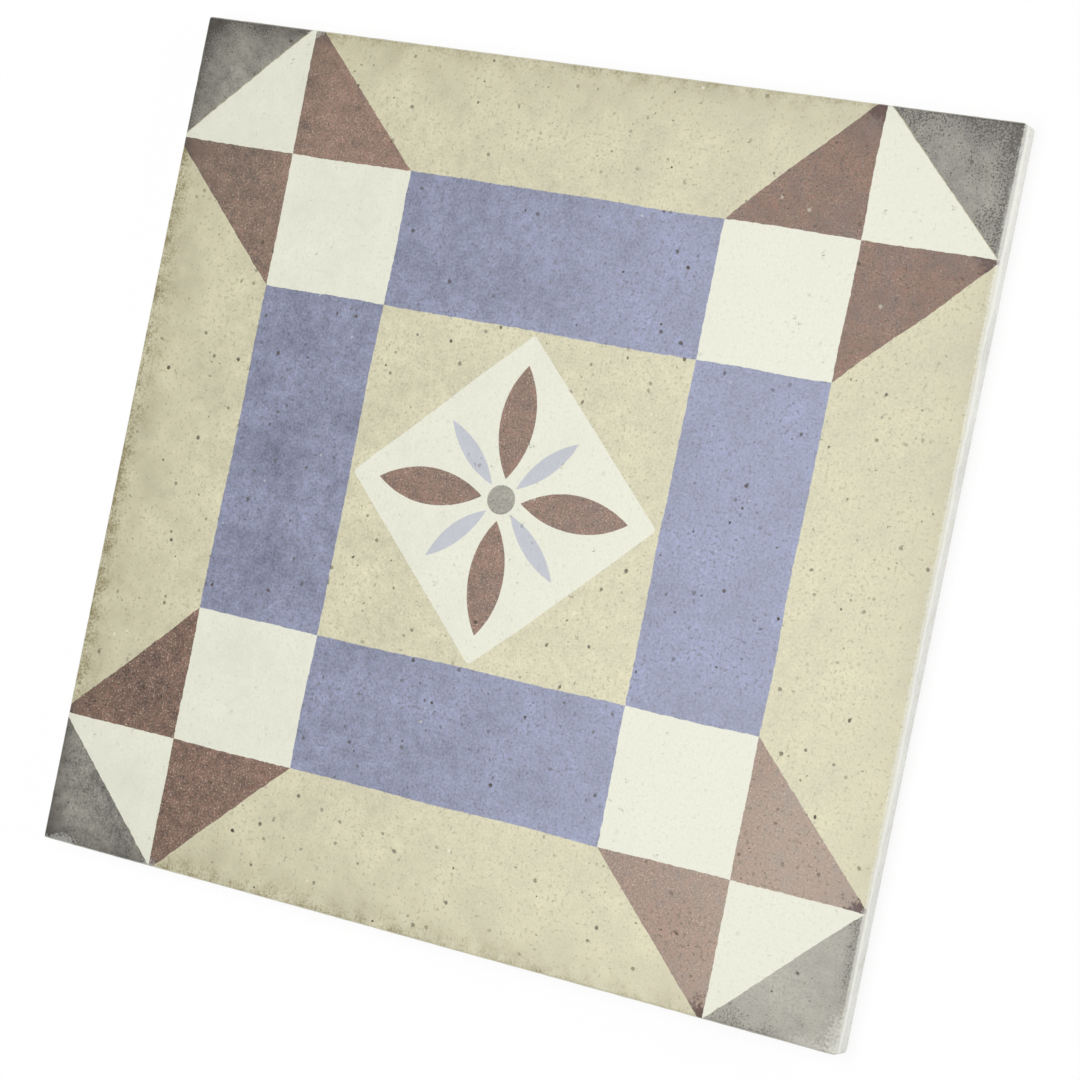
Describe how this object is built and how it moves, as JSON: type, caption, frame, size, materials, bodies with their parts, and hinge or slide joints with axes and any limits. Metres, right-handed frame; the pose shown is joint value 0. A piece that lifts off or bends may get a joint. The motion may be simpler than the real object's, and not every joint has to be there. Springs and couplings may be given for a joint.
{
  "type": "patterned glazed floor tile",
  "caption": "Square glazed ceramic tile with a printed geometric pattern around a petal rosette, softly rounded arrises and a back keyed with shallow pockets for adhesive.",
  "frame": {"origin": "middle of the back, on the plane of the ribs that the tile lies on", "axes": "+Z out of the glazed face, +X and +Y along two sides"},
  "size_m": [0.2008, 0.2008, 0.0075],
  "materials": {
    "glazed_body": "satin"
  },
  "bodies": {
    "root": {"tile": "glazed_body"}
  },
  "joints": []
}
